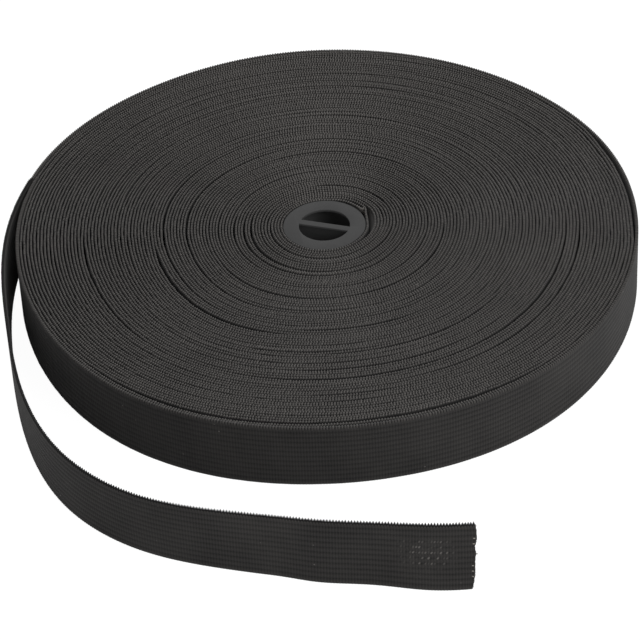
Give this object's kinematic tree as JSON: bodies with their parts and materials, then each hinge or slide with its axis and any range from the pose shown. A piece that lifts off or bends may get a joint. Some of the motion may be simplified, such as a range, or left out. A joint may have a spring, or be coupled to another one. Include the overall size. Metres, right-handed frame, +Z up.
{
  "type": "roll of elastic",
  "caption": "Flat roll of black ribbed elastic tape wound on a round plastic core, with its loose end standing in a curve beside it.",
  "frame": {"origin": "on the core's axis, in the plane that the roll lies on", "axes": "+Z up along the core's axis, -Y towards the front where the loose end's cut end lies, +X to the right seen from the front"},
  "size_m": [0.2283, 0.2806, 0.025],
  "materials": {
    "elastic_tape": "matt ribbed knit with a faint sheen on the crests",
    "core_plastic": "matt moulded"
  },
  "bodies": {
    "root": {"core": "core_plastic", "roll": "elastic_tape", "tail": "elastic_tape"}
  },
  "joints": []
}
